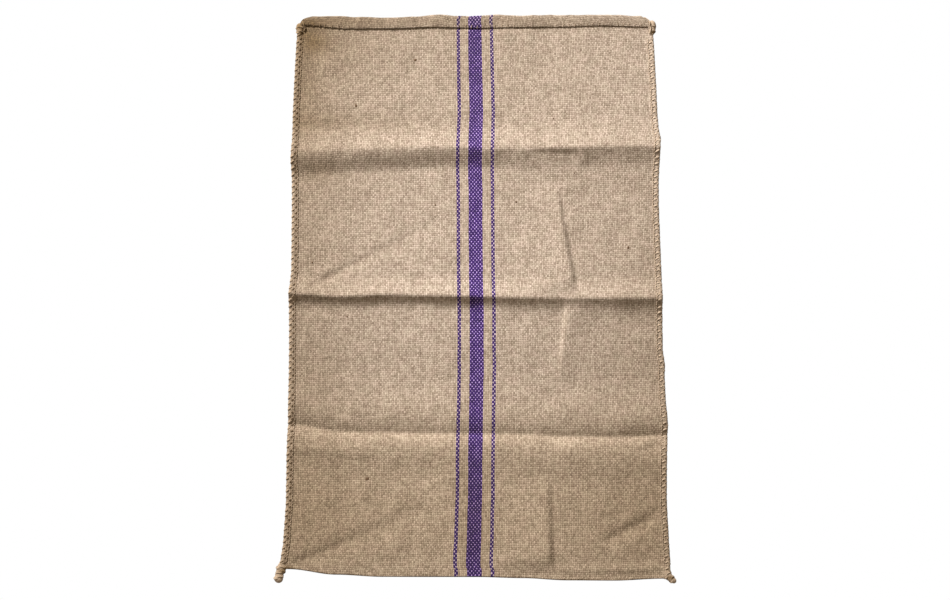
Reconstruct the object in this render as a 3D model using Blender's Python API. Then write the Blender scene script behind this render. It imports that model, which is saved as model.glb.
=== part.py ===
"""An empty jute grain sack lying flat, front face up.

One length of cloth is folded at the bottom and turned outwards into a hem at the mouth. Its two
sides are closed with thick overhead seams of jute twine. At the bottom corners each seam runs off
into a twisted ear, and at the mouth it starts from a knot. The sack was stored folded in four, so
three creases cross it: two ridges and a trough.

Metres, +Z up. +X runs across the sack, +Y along it towards the mouth. The origin is on the
surface the sack lies on, under the middle of its outline.
"""

import math
from collections import namedtuple

import bmesh
import bpy
from mathutils import Vector

MM = 0.001

# The cloth and how its layers lie on each other, from the surface up.
CLOTH = 1.6 * MM
LAYER_GAP = 1.0 * MM
SEWN_GAP = 0.3 * MM
HEM_GAP = 0.5 * MM
HEM_LIFT = CLOTH + HEM_GAP
HEM_RAMP = 10.0 * MM
HEM_RISE = 80.0 * MM
PUFF = 1.2 * MM
PUFF_RISE = 60.0 * MM

# Lines across the sack: y in millimetres at evenly spaced places from the left side to the right.
LINES = {
    "bottom fold": (-440.5, -449.0, -452.3, -452.5, -452.5, -454.3, -457.7, -458.1, -455.2),
    "lower crease": (-216.3, -226.8, -227.9, -229.8, -229.6, -230.8, -234.5, -234.9, -232.7),
    "middle crease": (-8.6, -12.0, -10.2, -11.6, -12.4, -14.4, -15.2, -15.4, -15.0),
    "upper crease": (227.0, 230.0, 233.0, 233.2, 233.0, 231.5, 233.5, 234.6, 234.6),
    "hem edge": (443.5, 437.9, 438.0, 440.7, 438.9, 440.2, 441.0, 442.4, 438.7),
    "mouth": (
        459.0, 459.0, 458.0, 456.9, 456.5, 458.5, 462.0, 459.3, 459.5,
        461.9, 459.8, 460.7, 461.1, 461.0, 461.3, 461.4, 459.6,
    ),
}

# How the cloth stands on either side of each crease at five places along it: how high, how far it
# reaches away from the crease, and the form in which it comes down again. In millimetres.
Flank = namedtuple("Flank", "form rises reaches")
Crease = namedtuple("Crease", "line below above")
CREASES = (
    Crease(
        "lower crease",
        Flank("swell", (4.1, 4.1, 4.2, 4.5, 4.4), (88.0, 86.0, 88.0, 94.0, 98.0)),
        Flank("swell", (4.7, 4.3, 4.3, 4.7, 5.8), (124.0, 120.0, 118.0, 118.0, 120.0)),
    ),
    Crease(
        "middle crease",
        Flank("steep", (8.2, 9.0, 9.2, 9.6, 11.4), (30.0, 31.0, 31.0, 43.0, 51.0)),
        Flank("ledge", (8.2, 9.0, 9.2, 9.6, 11.4), (27.0, 28.0, 28.0, 30.0, 34.0)),
    ),
    Crease(
        "upper crease",
        Flank("rounded", (9.6, 8.8, 5.2, 2.0, 1.2), (42.0, 40.0, 34.0, 30.0, 30.0)),
        Flank("ledge", (9.6, 8.8, 5.2, 2.0, 1.2), (38.0, 36.0, 32.0, 28.0, 28.0)),
    ),
    Crease(
        "upper crease",
        Flank("steep", (1.4, 1.8, 4.4, 7.8, 8.2), (56.0, 56.0, 58.0, 68.0, 70.0)),
        Flank("ledge", (1.4, 1.8, 4.4, 7.8, 8.2), (36.0, 36.0, 36.0, 36.0, 36.0)),
    ),
)
SWELL_SCALE = 256.0 / 27.0
LEDGE_SHARE = 0.58
LEDGE_CURVE = 1.2
LEDGE_LENGTH = 5.5

# Folds in the front layer alone. Each runs from its first end to its second, with a rise and the
# width of its left and right flank at either end, left and right as seen on the way. Millimetres.
Fold = namedtuple("Fold", "name x0 y0 x1 y1 rise0 rise1 left0 left1 right0 right1")
FOLDS = (
    Fold("upper side fold", 151.4, 18.0, 133.8, 148.0, 6.8, 2.2, 100.0, 55.0, 12.6, 6.5),
    Fold("lower side fold", 137.0, -128.0, 150.0, -38.0, 1.6, 3.8, 9.0, 11.0, 40.0, 60.0),
    Fold("slanting trough", -240.0, 18.0, -60.0, 112.0, -2.3, -0.8, 9.0, 16.0, 16.0, 26.0),
    Fold("bottom fold line", 113.0, -422.0, 112.4, -322.0, 4.7, 2.6, 88.0, 48.0, 12.0, 9.0),
)
FOLD_END = 30.0 * MM

# The outer edges of the two seams, as x in millimetres at a place y along the sack. The cloth
# follows them down to the lowest place named here.
Edge = namedtuple("Edge", "y left right")
SEAM_EDGES = (
    Edge(-443.0, -307.4, 304.0),
    Edge(-428.0, -302.6, 303.8),
    Edge(-400.0, -298.9, 302.6),
    Edge(-340.0, -295.9, 300.4),
    Edge(-265.0, -296.2, 301.8),
    Edge(-215.0, -294.9, 304.3),
    Edge(-180.0, -295.0, 301.6),
    Edge(-140.0, -295.2, 301.0),
    Edge(-121.0, -295.5, 302.0),
    Edge(-96.0, -295.8, 299.8),
    Edge(-60.0, -296.4, 299.2),
    Edge(-10.0, -298.0, 299.4),
    Edge(30.0, -294.6, 299.0),
    Edge(136.0, -295.9, 297.3),
    Edge(180.0, -296.7, 297.9),
    Edge(214.0, -299.0, 300.0),
    Edge(250.0, -297.2, 301.8),
    Edge(264.0, -297.2, 299.4),
    Edge(291.0, -297.2, 297.8),
    Edge(340.0, -296.2, 296.9),
    Edge(400.0, -294.4, 295.0),
    Edge(430.5, -293.0, 293.6),
)
LAST_EDGE = -430.0 * MM

# The ends of the hem, drawn in by the knots and rounded at the mouth.
HEM_SIDES = (
    Edge(430.5, -290.0, 290.0),
    Edge(436.0, -285.5, 286.5),
    Edge(449.0, -284.2, 285.2),
    Edge(456.0, -279.5, 281.0),
    Edge(461.0, -270.0, 273.0),
)

# The rounding of the bottom corners: its size, how far it draws the edge in as a share of that,
# and how much of a quarter circle it follows.
CORNER_ROUND = 9.0 * MM
CORNER_DEPTH = 0.8
CORNER_ARC = 0.96

# Half of the seam's section: in from its outer edge and up from the surface, in millimetres. The
# lip is above and below the cloth, whose edges reach into the slot behind it.
Rim = namedtuple("Rim", "inward up")
SEAM_SECTION = (
    Rim(10.3, 1.8),
    Rim(10.6, 1.3),
    Rim(8.9, 0.35),
    Rim(6.9, 0.0),
    Rim(4.4, 0.0),
    Rim(1.9, 0.75),
    Rim(0.45, 2.2),
)
SEAM_HEIGHT = 2 * HEM_LIFT + 2 * CLOTH + SEWN_GAP
SLOT_BACK = 2.9 * MM
CLOTH_INSET = SLOT_BACK + SEWN_GAP
SEAM_TOP = 430.5 * MM
SEAM_BOTTOM = {"left": -443.0 * MM, "right": -445.9 * MM}
LOWEST_STATION = 4.0 * MM
HIGHEST_STATION = 2.0 * MM

# Twisted ends of the seams: the run of each lump and its half widths at even steps, millimetres.
Lump = namedtuple("Lump", "name x0 y0 x1 y1 height half_widths")
LUMPS = (
    Lump("ear_left", -302.9, -444.5, -306.2, -461.9, 7.4, (6.4, 7.0, 7.5, 7.5, 6.9, 5.4, 2.6)),
    Lump("ear_right", 301.4, -450.3, 312.3, -459.9, 7.4, (5.0, 5.5, 5.8, 5.8, 5.5, 4.4, 2.2)),
    Lump("knot_left", -292.8, 431.1, -290.4, 449.2, 9.6, (2.6, 4.6, 5.4, 5.5, 5.2, 4.2, 2.0)),
    Lump("knot_right", 293.0, 431.1, 291.5, 452.4, 9.6, (2.6, 4.6, 5.4, 5.6, 5.3, 4.3, 2.0)),
)
LUMP_POINTS = 12
LUMP_SQUARENESS = 0.8
LUMP_LEAST_HEIGHT = 0.55

# Where the cloth's columns of points stand, as shares of its half width. The outermost two on each
# side lie in the seams' slots, and the close ones on the right follow the side folds.
COLUMNS = (
    -1.0, -0.97, -0.92, -0.80, -0.66, -0.52, -0.38, -0.22, -0.06, 0.10, 0.24,
    0.34, 0.41, 0.46, 0.51, 0.58, 0.68, 0.80, 0.92, 0.97, 1.0,
)
HELD = 0.97
PINCH_START = 0.90

# Where the cloth's rows of points stand: as shares of a crease's reach, as distances from the
# bottom fold and from the hem's edge, and as even steps over what is left between them.
NEAR_CREASE = (0.1, 0.25, 0.5, 1.0)
FIRST_ROW = 8.0 * MM
NEAR_BOTTOM = 20.0 * MM
NEAR_HEM = 25.0 * MM
HEM_ROWS = (HEM_RAMP, 0.6 * HEM_RAMP, 0.2 * HEM_RAMP)
PANEL_SHARES = (0.2, 0.4, 0.6, 0.8)
TURN_STEPS = 4

# The flaps of the hem: the rows of the flap under the back layer and, with the gap under each, of
# the flap on the front layer, as shares of the way from the hem's edge or from the mouth's fold.
BACK_FLAP_ROWS = (0.0, 0.5)
FRONT_FLAP_ROWS = ((0.35, 2.2 * MM), (0.7, 1.7 * MM), (1.0, HEM_GAP))
FRONT_TURN_GAP = 1.4 * MM

NATURAL_JUTE = (0.42, 0.31, 0.21, 1.0)
TWINE = (0.47, 0.36, 0.25, 1.0)


def remove_everything():
    for thing in list(bpy.data.objects):
        bpy.data.objects.remove(thing, do_unlink=True)


def plain_material(name, colour, roughness):
    material = bpy.data.materials.new(name)
    material.use_nodes = True
    shader = material.node_tree.nodes["Principled BSDF"]
    shader.inputs["Base Color"].default_value = colour
    shader.inputs["Roughness"].default_value = roughness
    shader.inputs["Metallic"].default_value = 0.0
    return material


def smooth_step(value, start, end):
    share = min(max((value - start) / (end - start), 0.0), 1.0)
    return share * share * (3.0 - 2.0 * share)


def across(values, share):
    """A value between even places across the sack, at a share of its half width from -1 to 1."""
    held = min(max(share, -HELD), HELD)
    place = (held / HELD + 1.0) * 0.5 * (len(values) - 1)
    left = min(int(place), len(values) - 2)
    step = smooth_step(place - left, 0.0, 1.0)
    return values[left] + (values[left + 1] - values[left]) * step


def line_y(name, share):
    return across(LINES[name], share) * MM


def edge_x(table, side, y):
    """The x of an edge between the rows of a table."""
    rows = sorted(table)
    y_mm = min(max(y / MM, rows[0].y), rows[-1].y)
    for low, high in zip(rows, rows[1:]):
        if y_mm <= high.y:
            step = (y_mm - low.y) / (high.y - low.y)
            start, end = getattr(low, side), getattr(high, side)
            return (start + (end - start) * step) * MM
    return getattr(rows[-1], side) * MM


def cloth_edge(side, y):
    """Where the cloth ends sideways: inside the seam, or at the hem's rounded end."""
    inward = 1.0 if side == "left" else -1.0
    if y > SEAM_TOP:
        return edge_x(HEM_SIDES, side, y)
    edge = edge_x(SEAM_EDGES, side, max(y, LAST_EDGE)) + inward * CLOTH_INSET
    corner = line_y("bottom fold", -inward) + CORNER_ROUND
    if y < corner:
        drop = min((corner - y) / CORNER_ROUND, 1.0)
        drawn_in = 1.0 - math.sqrt(1.0 - drop * drop * CORNER_ARC)
        edge += inward * CORNER_ROUND * CORNER_DEPTH * drawn_in
    return edge


def flank_height(form, away):
    """The share of a crease's rise that is left, away from it in parts of its reach."""
    left = max(1.0 - away, 0.0)
    if form == "swell":
        return SWELL_SCALE * away * left ** 3
    if form == "steep":
        return left ** 3
    if form == "ledge":
        far = max(1.0 - away / LEDGE_LENGTH, 0.0)
        return LEDGE_SHARE * left ** LEDGE_CURVE + (1.0 - LEDGE_SHARE) * far ** 2
    return max(1.0 - away * away, 0.0) ** 2


def crease_relief(share, y):
    """How far the creases hold both layers above the surface."""
    height = 0.0
    for crease in CREASES:
        distance = y - line_y(crease.line, share)
        flank = crease.below if distance < 0.0 else crease.above
        away = abs(distance) / (across(flank.reaches, share) * MM)
        height += across(flank.rises, share) * MM * flank_height(flank.form, away)
    return height


def crease_reach(name, side, share):
    """How far a line's creases reach below or above it, or 0 where the line has none."""
    flanks = [getattr(crease, side) for crease in CREASES if crease.line == name]
    return max((across(flank.reaches, share) * MM for flank in flanks), default=0.0)


def fold_relief(x, y):
    """How far the folds raise or lower the front layer: steep on the narrow side of each."""
    height = 0.0
    for fold in FOLDS:
        start = Vector((fold.x0, fold.y0)) * MM
        run = Vector((fold.x1, fold.y1)) * MM - start
        ahead = (Vector((x, y)) - start).dot(run) / run.length_squared
        aside = run.cross(Vector((x, y)) - start) / run.length
        share = min(max(ahead, 0.0), 1.0)
        beyond = abs(ahead - share) * run.length / FOLD_END
        left = fold.left0 + (fold.left1 - fold.left0) * share
        right = fold.right0 + (fold.right1 - fold.right0) * share
        away = abs(aside) / ((left if aside > 0.0 else right) * MM)
        rise = fold.rise0 + (fold.rise1 - fold.rise0) * share
        height += rise * MM * (1.0 - smooth_step(math.hypot(away, beyond), 0.0, 1.0))
    return height


def layer_heights(x, share, y):
    """The heights of the middles of the back layer and the front layer over one place."""
    pinch = smooth_step(abs(share), PINCH_START, HELD)
    hem = line_y("hem edge", share)
    hem_step = smooth_step(y, hem - HEM_RAMP, hem - HEM_ROWS[-1])
    hem_rise = smooth_step(y, hem - HEM_RISE, hem - HEM_ROWS[-1])
    bottom = line_y("bottom fold", share)
    loose = (1.0 - pinch) * (1.0 - hem_rise) * smooth_step(y, bottom, bottom + PUFF_RISE)
    back = CLOTH * 0.5 + crease_relief(share, y) + HEM_LIFT * max(pinch, hem_rise)
    gap = SEWN_GAP + (LAYER_GAP - SEWN_GAP) * max(1.0 - pinch, hem_step)
    puff = loose * (PUFF + fold_relief(x, y))
    return back, back + CLOTH + max(gap + puff, SEWN_GAP)


def lengthwise_rows():
    """The rows of points from the bottom fold to the hem, each as a y for every column."""
    names = list(LINES)[:-1]
    columns = []
    for share in COLUMNS:
        column = [line_y(names[0], share) + FIRST_ROW]
        for lower, upper in zip(names, names[1:]):
            start, end = line_y(lower, share), line_y(upper, share)
            rises = crease_reach(lower, "above", share)
            falls = crease_reach(upper, "below", share)
            if rises:
                column += [start] + [start + rises * part for part in NEAR_CREASE]
            first = start + (rises or NEAR_BOTTOM)
            last = end - (falls or NEAR_HEM)
            column += [first + (last - first) * part for part in PANEL_SHARES]
            if falls:
                column += [end - falls * part for part in reversed(NEAR_CREASE)]
            else:
                column += [end - away for away in HEM_ROWS]
        columns.append(column)
    return [list(row) for row in zip(*columns)]


def turn(middle_y, low, high, way, outer_on_a):
    """Points round a fold: skin a and skin b, from the lower layer to the upper one."""
    centre = (low + high) * 0.5
    radius = (high - low) * 0.5
    a_radius = radius + CLOTH * (0.5 if outer_on_a else -0.5)
    b_radius = radius - CLOTH * (0.5 if outer_on_a else -0.5)
    points = []
    for step in range(TURN_STEPS + 1):
        angle = math.pi * (step / TURN_STEPS - 0.5)
        side, up = way * math.cos(angle), math.sin(angle)
        points.append(
            (
                (middle_y + a_radius * side, centre + a_radius * up),
                (middle_y + b_radius * side, centre + b_radius * up),
            )
        )
    return points


def cloth_section(column, share, rows):
    """One lengthwise section of the sack: pairs of points on the cloth's outer and inner faces."""
    mouth = line_y("mouth", share)
    hem = line_y("hem edge", share)
    bottom = line_y("bottom fold", share)
    half = CLOTH * 0.5

    def place(y):
        left, right = cloth_edge("left", y), cloth_edge("right", y)
        return left + (right - left) * (share + 1.0) * 0.5

    back_mouth, front_mouth = layer_heights(place(mouth), share, mouth)
    back_bottom, front_bottom = layer_heights(place(bottom), share, bottom)
    flap = back_mouth - HEM_LIFT
    front_flap = front_mouth + CLOTH + FRONT_TURN_GAP
    turn_y = mouth - (front_flap - front_mouth) * 0.5 - half
    lower_turn_y = bottom + (front_bottom - back_bottom) * 0.5 + half

    section = []
    for part in BACK_FLAP_ROWS:
        y = hem + (turn_y - hem) * part
        section.append(((y, flap + half), (y, flap - half)))
    section += turn(turn_y, flap, back_mouth, 1.0, outer_on_a=False)
    for row in reversed(rows):
        back, _ = layer_heights(place(row[column]), share, row[column])
        section.append(((row[column], back - half), (row[column], back + half)))
    section += turn(lower_turn_y, back_bottom, front_bottom, -1.0, outer_on_a=True)
    for row in rows:
        _, front = layer_heights(place(row[column]), share, row[column])
        section.append(((row[column], front + half), (row[column], front - half)))
    section += turn(turn_y, front_mouth, front_flap, 1.0, outer_on_a=False)
    for part, gap in FRONT_FLAP_ROWS:
        y = turn_y + (hem - turn_y) * part
        middle = front_mouth + CLOTH + gap
        section.append(((y, middle - half), (y, middle + half)))
    return [tuple((place(y), y, z) for y, z in pair) for pair in section]


def add_object(name, mesh_data, material):
    mesh = bpy.data.meshes.new(name)
    bmesh.ops.recalc_face_normals(mesh_data, faces=mesh_data.faces)
    bmesh.ops.triangulate(mesh_data, faces=mesh_data.faces)
    mesh_data.to_mesh(mesh)
    mesh_data.free()
    mesh.materials.append(material)
    mesh.shade_smooth()
    mesh.set_sharp_from_angle(angle=math.radians(50.0))
    thing = bpy.data.objects.new(name, mesh)
    bpy.context.scene.collection.objects.link(thing)
    return thing


def build_cloth(material):
    """The length of cloth as one closed sheet, from hem to hem round the bottom fold."""
    rows = lengthwise_rows()
    shape = bmesh.new()
    columns = []
    for column, share in enumerate(COLUMNS):
        pairs = cloth_section(column, share, rows)
        columns.append([tuple(shape.verts.new(point) for point in pair) for pair in pairs])
    for near, far in zip(columns, columns[1:]):
        for face in (0, 1):
            for step in range(len(near) - 1):
                shape.faces.new(
                    (near[step][face], near[step + 1][face], far[step + 1][face], far[step][face])
                )
        for end in (0, -1):
            shape.faces.new((near[end][0], near[end][1], far[end][1], far[end][0]))
    for side in (columns[0], columns[-1]):
        for low, high in zip(side, side[1:]):
            shape.faces.new((low[0], low[1], high[1], high[0]))
    return add_object("sack_cloth", shape, material)


def loft(shape, rings):
    """Skin a row of closed rings and cap both ends."""
    for near, far in zip(rings, rings[1:]):
        for step in range(len(near)):
            following = (step + 1) % len(near)
            shape.faces.new((near[step], near[following], far[following], far[step]))
    shape.faces.new(rings[0])
    shape.faces.new(list(reversed(rings[-1])))


def build_seam(side, material):
    """The bead of twine that holds the layers' edges together, with a slot for them."""
    inward = 1.0 if side == "left" else -1.0
    share = -1.0 if side == "left" else 1.0
    column = 0 if side == "left" else len(COLUMNS) - 1
    stations = [row[column] for row in lengthwise_rows()]
    lowest, highest = SEAM_BOTTOM[side] + LOWEST_STATION, SEAM_TOP - HIGHEST_STATION
    stations = [y for y in stations if lowest < y < highest]
    stations = [SEAM_BOTTOM[side]] + stations + [SEAM_TOP]
    upper = [Rim(rim.inward, SEAM_HEIGHT / MM - rim.up) for rim in reversed(SEAM_SECTION)]
    slot = [Rim(SLOT_BACK / MM, upper[-1].up), Rim(SLOT_BACK / MM, SEAM_SECTION[0].up)]
    section = list(SEAM_SECTION) + [Rim(0.0, SEAM_HEIGHT / MM * 0.5)] + upper + slot
    shape = bmesh.new()
    rings = []
    for y in stations:
        edge = edge_x(SEAM_EDGES, side, y)
        lift = crease_relief(share, y)
        rings.append(
            [
                shape.verts.new((edge + inward * rim.inward * MM, y, lift + rim.up * MM))
                for rim in section
            ]
        )
    loft(shape, rings)
    return add_object(f"seam_{side}", shape, material)


def build_lump(lump, material):
    """A twisted end of a seam: a low rounded lump that lies on the surface."""
    start = Vector((lump.x0, lump.y0)) * MM
    end = Vector((lump.x1, lump.y1)) * MM
    along = (end - start).normalized()
    sideways = Vector((-along.y, along.x))
    widest = max(lump.half_widths)
    lowest_angle = math.tau * (LUMP_POINTS // 4 - 0.5) / LUMP_POINTS
    floor_flat = math.sin(lowest_angle) ** LUMP_SQUARENESS
    shape = bmesh.new()
    rings = []
    for step, half_width in enumerate(lump.half_widths):
        share = step / (len(lump.half_widths) - 1)
        middle = start.lerp(end, math.sin(share * math.pi * 0.5))
        fullness = LUMP_LEAST_HEIGHT + (1.0 - LUMP_LEAST_HEIGHT) * half_width / widest
        half_height = 0.5 * lump.height * MM * fullness
        ring = []
        for point in range(LUMP_POINTS):
            angle = math.tau * (point + 0.5) / LUMP_POINTS
            out = math.copysign(abs(math.cos(angle)) ** LUMP_SQUARENESS, math.cos(angle))
            up = math.copysign(abs(math.sin(angle)) ** LUMP_SQUARENESS, math.sin(angle))
            height = half_height * (1.0 + up / floor_flat)
            place = middle + sideways * (out * half_width * MM)
            ring.append(shape.verts.new((place.x, place.y, max(height, 0.0))))
        rings.append(ring)
    loft(shape, rings)
    return add_object(lump.name, shape, material)


def main():
    remove_everything()
    jute = plain_material("jute cloth", NATURAL_JUTE, 0.9)
    twine = plain_material("jute twine", TWINE, 0.85)
    build_cloth(jute)
    for side in ("left", "right"):
        build_seam(side, twine)
    for lump in LUMPS:
        build_lump(lump, twine)


main()
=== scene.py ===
"""The looks of an empty jute grain sack that lies flat with its striped front up.

The sack's cloth is one woven sheet with real thickness, folded at the bottom and hemmed at the
mouth. Its sides are closed by beads of cloth that two-ply twine is sewn over, turn by turn. The
twine ends in knots at the mouth and in wound ears at the bottom corners.

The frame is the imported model's, in metres. Shapes are worked out in millimetres, and add_piece
turns them into metres.
"""

import math
from collections import namedtuple
from functools import partialmethod

import bpy
import numpy as np
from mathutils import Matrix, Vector


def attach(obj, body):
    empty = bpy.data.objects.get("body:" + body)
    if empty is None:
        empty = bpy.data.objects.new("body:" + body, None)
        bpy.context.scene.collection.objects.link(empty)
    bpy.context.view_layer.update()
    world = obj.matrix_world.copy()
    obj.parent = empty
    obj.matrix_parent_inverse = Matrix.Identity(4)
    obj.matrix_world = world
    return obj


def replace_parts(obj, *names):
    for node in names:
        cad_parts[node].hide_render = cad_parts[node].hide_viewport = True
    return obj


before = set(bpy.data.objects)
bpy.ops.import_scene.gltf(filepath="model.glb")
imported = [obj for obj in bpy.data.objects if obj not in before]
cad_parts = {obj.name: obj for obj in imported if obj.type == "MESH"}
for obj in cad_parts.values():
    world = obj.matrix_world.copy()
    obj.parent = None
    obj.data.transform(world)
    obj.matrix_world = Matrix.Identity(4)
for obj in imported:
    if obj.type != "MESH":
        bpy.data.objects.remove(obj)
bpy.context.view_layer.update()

MM = 0.001
BODY = "root"
# The way inward from each side, along x.
INWARD = {"left": 1.0, "right": -1.0}

# ---- The sack's sizes, near those of the solids, in millimetres ----

CLOTH = 1.6
LAYER_GAP = 1.0
SEWN_GAP = 0.3
HEM_LIFT = CLOTH + 0.5
HEM_RAMP = 10.0
HEM_RAMP_END = 2.0
HEM_RISE = 80.0
PUFF = 1.2
PUFF_RISE = 60.0
FRONT_RISE = 22.0
MOST_SUNK = 0.4
FOLDS_SEWN_FLAT = 0.6
BACK_FLUTTER = 0.2
BACK_WAVELENGTH = 60.0
FLUTTER = ((0.20, 58.0, 1), (0.07, 26.0, 2))
HELD = 0.97
PINCH_START = 0.90
CLOTH_INSET = 3.2
LAST_EDGE = -430.0
CORNER_ROUND = 4.0
CORNER_DEPTH = 0.8
CORNER_ARC = 0.96
SEAM_TOP = 430.5
SEAM_BOTTOM = {"left": -443.0, "right": -445.9}
SEAM_HEIGHT = 2 * HEM_LIFT + 2 * CLOTH + SEWN_GAP

# Lines across the sack: y at evenly spaced places from the left side to the right.
LINES = {
    "bottom fold": (-440.5, -449, -452.3, -452.5, -452.5, -454.3, -457.7, -458.1, -455.2),
    "lower crease": (-216.3, -226.8, -227.9, -229.8, -229.6, -230.8, -234.5, -234.9, -232.7),
    "middle crease": (-6.8, -10.8, -8, -9.8, -11, -12.8, -13.8, -14, -13.8),
    "upper crease": (226.5, 229.5, 233, 234.2, 233.6, 229.5, 233.4, 235.6, 235.6),
    "hem edge": (443.5, 437.9, 438, 440.7, 438.9, 440.2, 441, 443.2, 441),
    "mouth": (
        459, 459, 458, 456.9, 456.5, 458.5, 462, 459.3, 459.5,
        461.9, 459.8, 460.7, 461.1, 461, 461.3, 461.4, 459.6,
    ),
}

# How the cloth stands below and above each crease: the form in which it comes down again and, at
# five places along the crease, how high it rises and how far it reaches.
CREASES = (
    ("lower crease",
     ("swell", (4.1, 4.1, 4.2, 4.5, 4.4), (88, 86, 88, 94, 98)),
     ("swell", (4.7, 4.3, 4.3, 4.7, 5.8), (124, 120, 118, 118, 120))),
    ("middle crease",
     ("steep", (8.2, 9, 9.2, 9.6, 11.4), (28, 29, 29, 40, 47)),
     ("ledge", (8.2, 9, 9.2, 9.6, 11.4), (27, 28, 28, 30, 34))),
    ("upper crease",
     ("rounded", (7, 9.2, 5.7, 2, 1.2), (38, 37, 32, 30, 30)),
     ("ledge", (7, 9.2, 5.7, 2, 1.2), (41, 40, 36, 28, 28))),
    ("upper crease",
     ("steep", (1.4, 1.8, 4.8, 8.8, 9.2), (53, 53, 54, 64, 66)),
     ("ledge", (1.4, 1.8, 4.8, 8.8, 9.2), (42, 42, 44, 46, 46))),
)

# The outer edges of the seams and the ends of the hem: x at a place y.
Edge = namedtuple("Edge", "y left right")
SEAM_EDGES = [Edge(*row) for row in (
    (-443, -307.4, 304), (-428, -302.6, 303.8), (-400, -298.9, 302.6), (-340, -295.9, 300.4),
    (-265, -296.2, 301.8), (-215, -294.9, 304.3), (-180, -295, 301.6), (-140, -295.2, 301),
    (-121, -295.5, 302), (-96, -295.8, 298.9), (-60, -296.4, 299.2), (-10, -298, 299.4),
    (30, -294.6, 299), (136, -295.9, 297.3), (180, -296.7, 297.9), (214, -299, 300),
    (250, -297.2, 301.8), (264, -297.2, 299.4), (291, -297.2, 297.8), (340, -296.2, 296.9),
    (400, -294.4, 295), (430.5, -293, 293.6),
)]
HEM_SIDES = [Edge(*row) for row in (
    (430.5, -290, 290), (436, -287.8, 287.8), (447.9, -287.5, 285.6), (452.2, -284.5, 282.4),
    (454.5, -281, 279.8), (456.2, -276, 277.3), (457.7, -269.3, 275), (460, -262, 270),
)]

# Folds in the front layer alone. Each runs from its first end to its second, with a rise and the
# width of its left and right flank at either end, left and right as seen on the way.
Fold = namedtuple("Fold", "name x0 y0 x1 y1 rise0 rise1 left0 left1 right0 right1")
FOLDS = [Fold(*row) for row in (
    ("upper side fold", 151.4, 18, 133.8, 148, 6.8, 2.2, 100, 55, 12.6, 6.5),
    ("lower side fold", 137, -128, 150, -38, 1.6, 3.8, 9, 11, 40, 60),
    ("slanting trough", -240, 18, -60, 112, -2.3, -0.8, 9, 16, 16, 26),
    ("bottom fold line", 113, -422, 112.4, -322, 4.7, 2.6, 88, 48, 12, 9),
    ("bottom left trough", -288, -436, -92, -352, -2, -0.9, 10, 15, 20, 30),
    ("right edge trough", 214, -392, 296, -352, -2, -3.8, 9, 14, 16, 18),
    ("upper crease dent", 60, 226, 148, 224, -1.6, -2.4, 14, 10, 22, 16),
    ("upper crease bump", 176, 216, 168, 246, 1.8, 1.4, 20, 14, 18, 14),
    ("left top hollow", -276, 330, -262, 424, -1.2, -2.4, 16, 16, 22, 26),
    ("left knot hollow", -281, 427, -273, 430, -0.9, -0.6, 6, 6, 8, 8),
    ("hem gather left", -16, 384, -15, 440, 0.5, 1.7, 9, 10, 14, 20),
    ("hem gather middle", 56, 372, 50, 440, 0.4, 1.6, 22, 26, 10, 12),
    ("hem gather right", 92, 380, 88, 440, 0.5, 1.9, 26, 30, 10, 12),
    ("right streak", 184, 300, 178, 420, 0.3, 1.2, 26, 34, 16, 20),
    ("bottom right dent", 262, -262, 296, -246, -1.4, -2.6, 16, 14, 18, 16),
    ("bottom right fold", 140, -444, 292, -440, 1.4, 1.6, 14, 14, 9, 9),
    ("bottom left rise", -292, -252, -176, -262, 1.6, 0.8, 22, 20, 13, 12),
)]
FOLD_END = 30.0
GENTLE_FLANK = 1.25

# Where the sack is darkened and browned: painted shade along the creases, on the hem, over the
# lower panel and at the knots and ears, and a darker tone towards the sides and corners. For each
# patch: the middle, its reach sideways and along, and its depth.
Patch = namedtuple("Patch", "name x y reach_x reach_y depth")
PATCHES = [Patch(*row) for row in (
    # Darker towards the left side, the top left, the upper panel and the right side.
    ("left side", -300, 40, 122, 560, 0.4),
    ("top left", -240, 392, 190, 160, 0.2),
    ("upper panel", 20, 400, 170, 140, 0.15),
    ("right side", 310, -60, 112, 260, 0.26),
    # Painted shade over the lower panel, which tilts away from the lamp; darker towards the bottom
    # right.
    ("lower panel", 0, -372, 2000, 125, 0.255),
    ("bottom right", 270, -385, 120, 120, 0.16),
    # Painted shade along the turned hem, over a band above the lower crease, and on both sides of
    # the upper crease.
    ("hem", 0, 451, 2000, 14, 0.28),
    ("third panel", 0, -148, 2000, 62, 0.11),
    ("above the upper crease", -190, 277, 165, 16, 0.15),
    ("below the upper crease", -248, 198, 30, 16, 0.17),
    # Darker towards the upper left, the bottom left, the left edge and the top left corner.
    ("upper left", -205, 412, 80, 40, 0.11),
    ("bottom left", -210, -385, 120, 90, 0.06),
    ("left edge", -284, 340, 32, 120, 0.17),
    ("left corner", -264, 418, 30, 24, 0.27),
    # Painted shadow in the hollow beside the left knot and in the corner at the left end of the
    # hem.
    ("left knot hollow", -280, 428, 6, 4.5, 0.45),
    ("left hem corner", -275, 446.5, 7, 4, 0.4),
    # A darker tone over the lower part of the stripes.
    ("lower stripes", -2, -360, 20, 110, 0.22),
    # Painted shade on the left knot, down the right knot's far side and under it, in the left ear's
    # fold and web, and on the right ear.
    ("left knot", -291, 441, 7, 8, 0.12),
    ("right knot side", 297.8, 442, 3, 8, 0.55),
    ("right knot foot", 293, 430.8, 5, 2.8, 0.85),
    ("left ear fold", -299, -443.5, 5.5, 2.8, 0.5),
    ("left ear web", -291, -438.6, 8, 2.8, 0.5),
    ("right ear", 303.8, -453.6, 7, 2.6, 0.65),
)]
MOST_SOIL_AND_SHADE = 0.85

# The cloth's weave: the width of a pair of warp ends and the height of a pick.
WARP_PAIR = 2.8
PICK = 3.4
CLOTH_HALF = 297.0

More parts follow.
